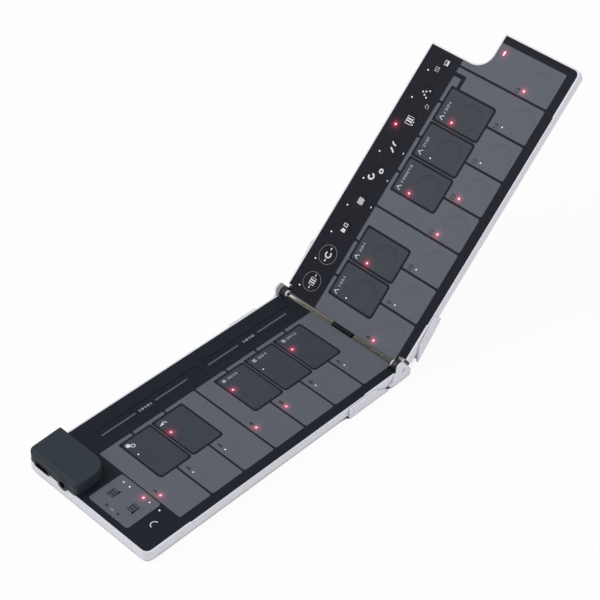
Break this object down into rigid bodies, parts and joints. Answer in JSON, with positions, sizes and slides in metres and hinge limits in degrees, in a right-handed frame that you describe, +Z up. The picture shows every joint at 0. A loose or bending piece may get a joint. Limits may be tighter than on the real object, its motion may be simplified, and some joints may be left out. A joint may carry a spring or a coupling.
{
  "type": "folding_pad_keyboard",
  "caption": "Slim keyboard of soft pads in two white trays that fold flat on a hinge, with lit dots, touch strips, round function buttons and a raised block with a data and an audio socket.",
  "frame": {"origin": "on the table, in the middle of the outline seen from above, at the lower faces of the feet", "axes": "+X runs along the length from the base toward the lid, +Y toward the rear (the function button side), +Z up from the table"},
  "size_m": [0.2862, 0.0822, 0.1239],
  "materials": {
    "white_case": "satin moulded white",
    "black_plate": "fine matt black",
    "grey_pads": "soft grey silicone",
    "slate_pads": "soft slate silicone",
    "block_slate": "soft touch slate",
    "lamp_white": "lit white light pipe",
    "lamp_red": "lit red light pipe",
    "board": "solder mask",
    "film": "printed film",
    "chip": "moulded package",
    "steel": "plain steel",
    "black_metal": "black coated steel",
    "socket_black": "socket plastic",
    "foot_rubber": "soft foot",
    "flex": "flexible cable"
  },
  "bodies": {
    "base": {"base_tray": "white_case", "base_top_plate": "black_plate", "base_white_keys": "grey_pads", "base_black_keys": "slate_pads", "side_panel": "grey_pads", "touch_strips": "black_plate", "base_sensor_film": "film", "base_circuit_board": "board", "base_chips": "chip", "port_block": "block_slate", "usb_socket": "steel", "audio_socket": "socket_black", "base_white_lamps": "lamp_white", "base_red_lamps": "lamp_red", "flex_cable": "flex", "base_flex_connector": "chip", "front_hinge_pin": "steel", "rear_hinge_pin": "steel", "base_hinge_leaves": "black_metal", "hinge_washers": "white_case", "front_hinge_cap": "white_case", "rear_hinge_cap": "white_case", "base_leaf_screws": "steel", "base_case_screws": "steel", "base_feet": "foot_rubber", "base_flap_pins": "steel"},
    "lid": {"lid_tray": "white_case", "lid_top_plate": "black_plate", "lid_white_keys": "grey_pads", "lid_black_keys": "slate_pads", "function_buttons": "black_plate", "lid_sensor_film": "film", "lid_circuit_board": "board", "lid_chips": "chip", "lid_white_lamps": "lamp_white", "lid_red_lamps": "lamp_red", "lid_hinge_leaves": "black_metal", "lid_leaf_screws": "steel", "lid_case_screws": "steel", "lid_feet": "foot_rubber", "lid_flap_pins": "steel", "lid_flex_connector": "chip", "lid_flex_tail": "flex"},
    "base_flap": {"base_flap": "white_case"},
    "lid_flap": {"lid_flap": "white_case"}
  },
  "joints": [
    {"name": "fold", "type": "hinge", "parent": "base", "child": "lid", "pos_m": [0.02235, 0, 0.007], "axis": [0, -1, 0], "range_deg": [-45, 135]},
    {"name": "base_flap_pivot", "type": "hinge", "parent": "base", "child": "base_flap", "pos_m": [-0.01305, 0, 0.0036], "axis": [0, 1, 0], "range_deg": [0, 6.5]},
    {"name": "lid_flap_pivot", "type": "hinge", "parent": "lid", "child": "lid_flap", "pos_m": [0.04434, 0, 0.02418], "axis": [0, 1, 0], "range_deg": [0, 6.5]}
  ]
}
